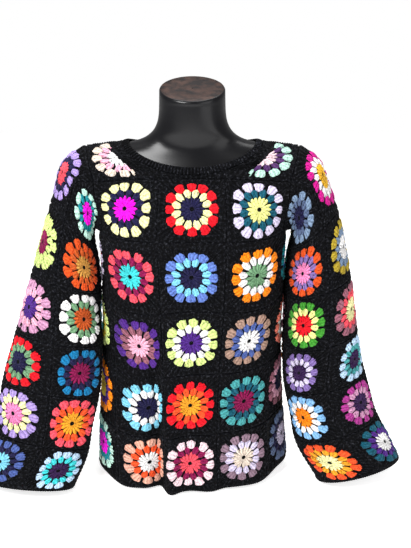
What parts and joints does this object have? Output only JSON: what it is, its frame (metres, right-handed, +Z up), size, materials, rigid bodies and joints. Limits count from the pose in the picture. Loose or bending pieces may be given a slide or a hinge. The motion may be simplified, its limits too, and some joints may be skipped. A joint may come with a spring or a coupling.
{
  "type": "patchwork sweater on a dress form",
  "caption": "Crochet pullover of joined black-edged squares with a round neck and long open sleeves, on a limbless dress form.",
  "frame": {"origin": "centre of the dress form's flat base", "axes": "+Z up, -Y towards the garment's front, +X towards the wearer's left"},
  "size_m": [0.8193, 0.2597, 0.7698],
  "materials": {
    "yarn": "matt crochet wool",
    "form_shell": "glossy black"
  },
  "bodies": {
    "root": {"front": "yarn", "back": "yarn", "side_left": "yarn", "side_right": "yarn", "neck_fill_front": "yarn", "shoulder_left": "yarn", "shoulder_right": "yarn", "neckband": "yarn", "sleeve_left": "yarn", "sleeve_right": "yarn", "dress_form": "form_shell"}
  },
  "joints": []
}
